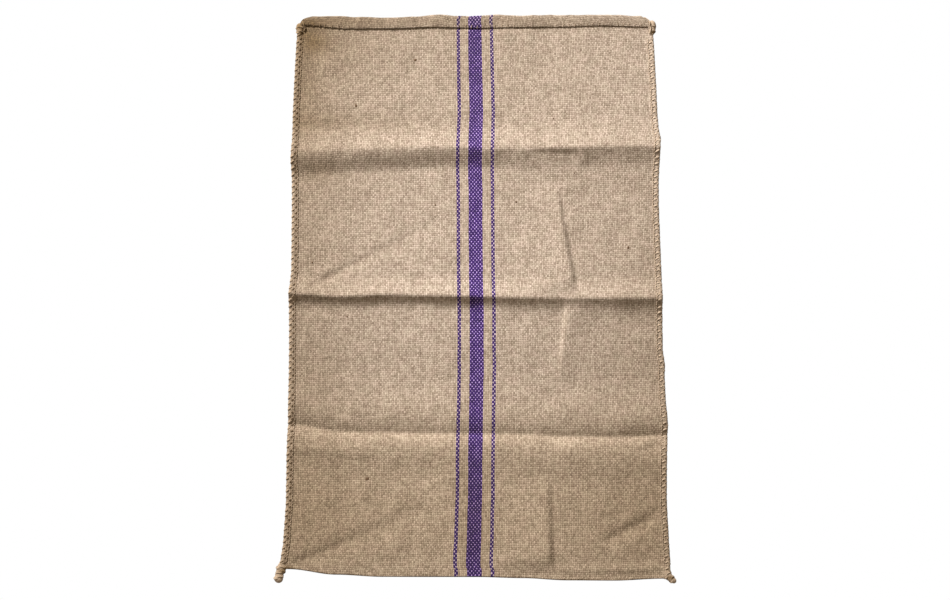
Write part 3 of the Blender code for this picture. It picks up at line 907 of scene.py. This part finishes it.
def build_hem_stitches(face, material):
    """The hem's stitches: short slanting turns of twine over the edge of the turned flap."""
    shape = Shape()
    xs = hem_stitches()
    share = xs / CLOTH_HALF
    hem = line_y("hem edge", share)
    draw = np.random.default_rng(61 if face == "front" else 62)
    back, front = layer_heights(xs, share, hem)
    steps = np.linspace(0, 1, 13)
    rises = CLOTH * 0.5 + np.interp(steps, HEM_STITCH_STEPS, HEM_STITCH_RISES)
    for number, x in enumerate(xs):
        lean = draw.uniform(1.4, 2.8)
        reach = draw.uniform(5.4, 6.8)
        z = front[number] + rises if face == "front" else np.maximum(back[number] - rises, HEM_PLY)
        path = stacked(x + lean * (steps - 0.5), hem[number] - HEM_STITCH_LOW + steps * reach, z)
        add_twine(shape, path, *moving_frame(path), HEM_PLY, HEM_TWIST, seed=number, taper=1.6)
    return add_piece(f"hem_stitches_{face}", shape, material)


# Flecks of bark left among the fibres: x, y, half the length and width, and the way that they lie.
Fleck = namedtuple("Fleck", "x y half_length half_width angle")
FLECKS = [Fleck(*row) for row in (
    (-98, 384, 2.9, 2.1, 0.4), (-194, 306, 2.7, 1.9, 2), (128, 284, 2, 1.1, 1.2),
    (-64, 140, 1.8, 1.2, 0.2), (-261, 45, 2.1, 1.4, 1.6), (-204, -43, 2.2, 1.2, 2.6),
    (67, 145, 1.7, 1.2, 0.9), (246, 69, 2.7, 1.8, 1.4), (-169, -301, 3.4, 2.4, 0.6),
    (161, 193, 1.4, 0.9, 2.2),
)]
FLECK_THICKNESS = 0.5


def build_flecks(material):
    """Small flat lumps of dark bark that lie in the front of the cloth."""
    shape = Shape()
    rings = (np.linspace(0.06, 0.94, 6) * math.pi)[:, None]
    angles = round_angles(10)
    for fleck in FLECKS:
        here = (np.array(value) for value in (fleck.x, fleck.x / CLOTH_HALF, fleck.y))
        top = layer_heights(*here)[1] + CLOTH * 0.5
        long = np.sin(rings) * np.cos(angles) * fleck.half_length
        wide = np.sin(rings) * np.sin(angles) * fleck.half_width
        cos, sin = math.cos(fleck.angle), math.sin(fleck.angle)
        z = top + FLECK_THICKNESS * np.cos(rings)
        lump = stacked(fleck.x + long * cos - wide * sin, fleck.y + long * sin + wide * cos, z)
        shape.add_tube(lump[::-1], np.zeros_like(lump))
    return add_piece("bark_flecks", shape, material)


# ---- Materials ----

def add_node(tree, kind, inputs, **settings):
    """A shader node whose inputs are fields, sockets, colours or numbers."""
    node = tree.nodes.new("ShaderNode" + kind)
    for name, setting in settings.items():
        setattr(node, name, setting)
    for key, value in inputs.items():
        value = value.socket if isinstance(value, Field) else value
        if isinstance(value, bpy.types.NodeSocket):
            tree.links.new(value, node.inputs[key])
        else:
            node.inputs[key].default_value = (*value, 1.0) if isinstance(value, tuple) else value
    return node


class Field:
    """A number that varies over a surface, written as a formula and kept as shader nodes."""

    def __init__(self, tree, socket):
        self.tree, self.socket = tree, socket

    def apply(self, operation, *others, clamp=False):
        inputs = dict(enumerate((self, *others)))
        node = add_node(self.tree, "Math", inputs, operation=operation, use_clamp=clamp)
        return Field(self.tree, node.outputs[0])

    __add__ = partialmethod(apply, "ADD")
    __sub__ = partialmethod(apply, "SUBTRACT")
    __mul__ = partialmethod(apply, "MULTIPLY")
    floor = partialmethod(apply, "FLOOR")
    fraction = partialmethod(apply, "FRACT")
    size = partialmethod(apply, "ABSOLUTE")
    over = partialmethod(apply, "GREATER_THAN")
    under = partialmethod(apply, "LESS_THAN")
    clamped = partialmethod(apply, "ADD", 0.0, clamp=True)

    def ramp(self, start, end):
        """0 below start, 1 above end, smooth between them."""
        inputs = {"Value": self, "From Min": start, "From Max": end}
        node = add_node(self.tree, "MapRange", inputs, interpolation_type="SMOOTHSTEP")
        return Field(self.tree, node.outputs["Result"])

    def choose(self, where_one, where_zero):
        """One of two fields, by a field that is 1 or 0, or a blend between."""
        return where_zero + self * (where_one - where_zero)


class Surface:
    """A material whose colour, bump and roughness are worked out from places on cloth or yarn."""

    def __init__(self, name):
        self.material = bpy.data.materials.new(name)
        self.material.use_nodes = True
        self.tree = self.material.node_tree
        self.shader = self.tree.nodes["Principled BSDF"]
        self.shader.inputs["Metallic"].default_value = 0.0
        self.shader.inputs["Sheen Weight"].default_value = 0.12
        self.shader.inputs["Sheen Roughness"].default_value = 0.6
        self.shader.inputs["Specular IOR Level"].default_value = 0.25

    def place(self):
        """The three parts of the place attribute."""
        attribute = add_node(self.tree, "Attribute", {}, attribute_name="place")
        parts = add_node(self.tree, "SeparateXYZ", {0: attribute.outputs["Vector"]})
        return [Field(self.tree, parts.outputs[k]) for k in range(3)]

    def vector(self, *parts):
        return add_node(self.tree, "CombineXYZ", dict(enumerate(parts))).outputs[0]

    def noise(self, a, b, c):
        """Smooth noise about 0, mostly between -1 and 1."""
        inputs = {"Scale": 1.0, "Detail": 2.0, "Vector": self.vector(a, b, c)}
        node = add_node(self.tree, "TexNoise", inputs)
        return Field(self.tree, node.outputs["Fac"]) * 3.2 - 1.6

    def chance(self, a, b, c):
        """An even random number from -1 to 1 for each whole step of a and b."""
        inputs = {"Vector": self.vector(a, b, c)}
        node = add_node(self.tree, "TexWhiteNoise", inputs, noise_dimensions="3D")
        return Field(self.tree, node.outputs["Value"]) * 2.0 - 1.0

    def mix(self, share, one, other):
        """other where share is 0, one where it is 1. Colours are sockets or linear values."""
        inputs = {0: share, 6: other, 7: one}
        return add_node(self.tree, "Mix", inputs, data_type="RGBA").outputs[2]

    def tinted(self, colour, tint):
        inputs = {0: colour, 1: tint}
        return add_node(self.tree, "VectorMath", inputs, operation="MULTIPLY").outputs[0]

    def shade(self, colour, brightness):
        """A colour times a brightness."""
        inputs = {0: colour, "Scale": brightness}
        return add_node(self.tree, "VectorMath", inputs, operation="SCALE").outputs[0]

    def soiled_and_shaded(self, colour):
        """A colour darkened and browned by the patches: painted shade in some, a darker tone in
        others.
        """
        attribute = add_node(self.tree, "Attribute", {}, attribute_name="soil_and_shade")
        return self.tinted(colour, self.mix(attribute.outputs["Fac"], SOIL_AND_SHADE_TINT, PLAIN))

    def finish(self, colour, roughness, height, depth):
        inputs = {"Strength": 1.0, "Distance": depth * MM, "Height": height}
        bump = add_node(self.tree, "Bump", inputs)
        self.tree.links.new(colour, self.shader.inputs["Base Color"])
        self.tree.links.new(roughness.socket, self.shader.inputs["Roughness"])
        self.tree.links.new(bump.outputs[0], self.shader.inputs["Normal"])
        return self.material


PALE_JUTE = (0.6, 0.497, 0.408)
BROWN_JUTE = (0.4, 0.293, 0.2)
# Painted shade in the gaps between yarns.
GAP_SHADE_BROWN = (0.13, 0.078, 0.042)
# The brown that the patches' painted shade and darker tone tint towards.
SOIL_AND_SHADE_TINT = (0.24, 0.16, 0.02)
VIOLET = (0.042, 0.006, 0.14)
# Painted shade in the gaps between dyed yarns.
GAP_SHADE_VIOLET = (0.012, 0.002, 0.045)
LILAC = (0.53, 0.37, 0.76)
PALE_LILAC = (0.56, 0.44, 0.5)
ROSY = (1.014, 0.991, 1.0)
MOSSY = (0.989, 1.007, 0.986)
PLAIN = (1.0, 1.0, 1.0)
# Warmer towards the bottom: fully below the first y, not at all above the second.
LOWER_WARMTH = (1.02, 0.995, 0.925)
LOWER_WARMTH_RAMP = (-280.0, -130.0)
TWINE_PALE = (0.63, 0.506, 0.386)
TWINE_BROWN = (0.372, 0.262, 0.172)
BARK = (0.11, 0.06, 0.028)
FLOOR_SHADE = (0.5, 0.5, 0.5)


def cloth_material():
    """Plain weave of doubled warp ends over single picks, with violet stripes in the warp."""
    surface = Surface("woven jute")
    mix, noise, chance = surface.mix, surface.noise, surface.chance
    u, v, turned = surface.place()

    def blotches(scale, seed):
        return noise(u * scale, v * scale, seed)

    wander = blotches(0.016, 3.0)
    sway = blotches(0.016, 7.0)
    wobble = blotches(0.11, 5.0)
    jitter = blotches(0.33, 6.0)
    across_pairs = (u + wander * 0.55 + wobble * 0.30 + jitter * 0.12) * (1.0 / WARP_PAIR)
    along_picks = (v + sway * 1.6 + wobble * 0.75 + jitter * 0.35) * (1.0 / PICK)
    pair, pick = across_pairs.floor(), along_picks.floor()
    in_pair, in_pick = across_pairs.fraction() - 0.5, along_picks.fraction() - 0.5
    warp_up = ((pair + pick) * 0.5).fraction().under(0.25)

    # The two ends of a pair lie side by side; a pick is one thick yarn.
    end = (across_pairs * 2.0).floor()
    in_end = (across_pairs * 2.0).fraction() - 0.5
    crown_warp = (in_end * in_end) * -2.2 + (in_pair * in_pair) * -1.2
    crown_warp = crown_warp + (in_pick * in_pick) * -1.1 + 1.0
    crown_weft = (in_pick * in_pick) * -1.7 + (in_pair * in_pair) * -2.0 + 1.0
    end_size = chance(end, 0.0, 1.0)
    pick_size = chance(pick, 0.0, 2.0)
    fibres_warp = noise(u * 2.6, v * 0.30, 11.0)
    fibres_weft = noise(u * 0.30, v * 2.2, 12.0)
    fibres = warp_up.choose(fibres_warp, fibres_weft)
    crown = warp_up.choose(crown_warp, crown_weft)
    thick = noise(end * 0.71, v * 0.055, 21.0) + noise(u * 0.045, pick * 0.71, 22.0)
    height = crown + warp_up.choose(end_size, pick_size) * 0.10 + thick * 0.10 + fibres * 0.10

    # Tone: each end, each pick and each crossing differs, and the yarns carry slubs and streaks.
    cell = chance(pair, pick, 3.0)
    slubs = noise(u * 0.04, pick * 0.93, 13.0)
    streaks = noise(end * 0.62, v * 0.020, 14.0)
    grain = blotches(0.42, 17.0)
    mottle = blotches(0.028, 15.0)
    tone = end_size * 0.04 + pick_size * 0.02 + cell * 0.165 + slubs * 0.07 + streaks * 0.10
    tone = tone + grain * 0.11 + mottle * 0.03 + fibres * 0.06
    # Painted shade: where a yarn's crown sinks into the gaps, its colour turns to a shade brown, or
    # to a deeper violet in the stripes.
    crowns_clear_of_gap_shade = (cell * 0.10 + thick * 0.10 + grain * 0.14 + crown).ramp(0.10, 0.85)
    pale = (tone * 1.1 + 0.64).clamped()
    natural = mix(pale, PALE_JUTE, BROWN_JUTE)
    natural = mix(crowns_clear_of_gap_shade, natural, GAP_SHADE_BROWN)
    # Warmer in tone towards the bottom.
    natural = surface.tinted(natural, mix(v.ramp(*LOWER_WARMTH_RAMP), PLAIN, LOWER_WARMTH))

    # Stripes: pairs -11 and -10, -4 to 3, and 9 and 10 are dyed.
    from_middle = (pair + 0.5).size()
    edge_stripe = from_middle.over(8.9) * from_middle.under(11.1)
    dyed = from_middle.under(4.1) + edge_stripe
    spot = (in_pair * in_pair) * 5.6 + (in_pick * in_pick) * 5.2
    size = edge_stripe * 0.25 + u * 0.004 + turned * 0.35 + cell * 0.16 + 0.46
    weft_shows = (warp_up * -1.0 + 1.0) * (size - spot).ramp(-0.12, 0.12)
    violet = mix(crowns_clear_of_gap_shade, VIOLET, GAP_SHADE_VIOLET)
    weft_colour = mix(edge_stripe, PALE_LILAC, LILAC)
    stripe = mix(weft_shows, weft_colour, violet)
    colour = mix(dyed, stripe, natural)
    hue = blotches(0.06, 18.0).ramp(-0.8, 0.8)
    colour = surface.tinted(colour, mix(hue, ROSY, MOSSY))
    # The patches' painted shade and darker tone come last.
    colour = surface.soiled_and_shaded(surface.shade(colour, tone * 0.7 + 1.0))
    roughness = fibres * 0.05 + 0.86
    return surface.finish(colour, roughness, height, 0.44)


def twine_material():
    """Soft jute twine: long fibres that wind round each ply."""
    surface = Surface("jute twine")
    along, around, number = surface.place()
    fibres = surface.noise(along * 0.35, around * 7.0 + along * 0.5, number)
    slubs = surface.noise(along * 0.12, number * 3.0, 4.0)
    tone = fibres * 0.22 + slubs * 0.22
    pale = (tone + 0.6).clamped()
    # The twine of the knots and ears carries the patches' painted shade too.
    colour = surface.soiled_and_shaded(surface.mix(pale, TWINE_PALE, TWINE_BROWN))
    roughness = fibres * 0.05 + 0.84
    return surface.finish(colour, roughness, fibres * 0.5, 0.35)


def plain_material(name, colour):
    material = bpy.data.materials.new(name)
    material.use_nodes = True
    shader = material.node_tree.nodes["Principled BSDF"]
    shader.inputs["Base Color"].default_value = (*colour, 1.0)
    shader.inputs["Roughness"].default_value = 0.9
    return material


def show_white(tree, lit, kind, output):
    """Let the camera see plain white, while the lit shader's light falls on the scene."""
    rays = add_node(tree, "LightPath", {}).outputs["Is Camera Ray"]
    white = add_node(tree, kind, {"Color": PLAIN}).outputs[0]
    mixed = add_node(tree, "MixShader", {0: rays, 1: tree.nodes[lit].outputs[0], 2: white})
    tree.links.new(mixed.outputs[0], tree.nodes[output].inputs["Surface"])


def floor_material():
    """A floor that looks white, but throws no more light on the sack than a pale one."""
    material = plain_material("pale floor", FLOOR_SHADE)
    show_white(material.node_tree, "Principled BSDF", "Emission", "Material Output")
    return material


# ---- Light, floor and camera ----

CAMERA_TARGET = Vector((0.0, -0.015, 0.0))
CAMERA_DISTANCE = 2.6
CAMERA_TILT = math.radians(10.1)
CAMERA_LENS = 61.5

KEY_DISTANCE = 5.0
KEY_HEIGHT_ANGLE = math.radians(27.0)
KEY_TURN = math.radians(32.0)
KEY_SIZE = 0.95
KEY_POWER = 562.0
KEY_COLOUR = (1.0, 0.99, 0.985)
FLOOR_HALF = 4.0
FLOOR_LEVEL = -0.0004
FLOOR_CORNERS = ((-1, -1), (1, -1), (1, 1), (-1, 1))
SKY = 0.325
SKY_COLOUR = (1.0, 0.87, 0.7)


def add_camera():
    data = bpy.data.cameras.new("camera")
    data.lens = CAMERA_LENS
    camera = add_object("camera", data)
    away = Vector((0.0, -math.sin(CAMERA_TILT), math.cos(CAMERA_TILT)))
    camera.location = CAMERA_TARGET + away * CAMERA_DISTANCE
    camera.rotation_euler = (CAMERA_TILT, 0.0, 0.0)
    bpy.context.scene.camera = camera


def add_light():
    """One soft lamp beyond the mouth, to the left, and a dim warm surround that looks white."""
    data = bpy.data.lights.new("key", "AREA")
    data.shape, data.size, data.energy = "DISK", KEY_SIZE, KEY_POWER
    data.color = KEY_COLOUR
    lamp = add_object("key", data)
    level = math.cos(KEY_HEIGHT_ANGLE)
    towards = Vector(
        (-math.sin(KEY_TURN) * level, math.cos(KEY_TURN) * level, math.sin(KEY_HEIGHT_ANGLE))
    )
    lamp.location = towards * KEY_DISTANCE
    lamp.rotation_euler = towards.to_track_quat("Z", "Y").to_euler()
    world = bpy.data.worlds.new("surround")
    world.use_nodes = True
    dim = world.node_tree.nodes["Background"]
    dim.inputs["Color"].default_value = (*SKY_COLOUR, 1.0)
    dim.inputs["Strength"].default_value = SKY
    show_white(world.node_tree, "Background", "Background", "World Output")
    bpy.context.scene.world = world
    bpy.context.scene.view_settings.view_transform = "Standard"


def add_floor():
    mesh = bpy.data.meshes.new("floor")
    corners = [(x * FLOOR_HALF, y * FLOOR_HALF, FLOOR_LEVEL) for x, y in FLOOR_CORNERS]
    mesh.from_pydata(corners, [], [(0, 1, 2, 3)])
    mesh.materials.append(floor_material())
    floor = add_object("floor", mesh)


# ---- The sack ----

def main():
    add_camera()
    add_light()
    add_floor()
    cloth_look = cloth_material()
    twine_look = twine_material()
    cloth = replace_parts(build_cloth(cloth_look), "sack_cloth")
    pieces = []
    for side in INWARD:
        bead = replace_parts(build_bead(side, cloth_look), f"seam_{side}")
        pieces += [bead, build_overhead_twine(side, twine_look), build_chain(side, twine_look)]
    for lobe in LOBES:
        pieces.append(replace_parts(build_lobe(lobe, twine_look), lobe.name))
    for face in ("front", "back"):
        pieces.append(build_hem_stitches(face, twine_look))
    pieces.append(build_flecks(plain_material("bark", BARK)))


main()
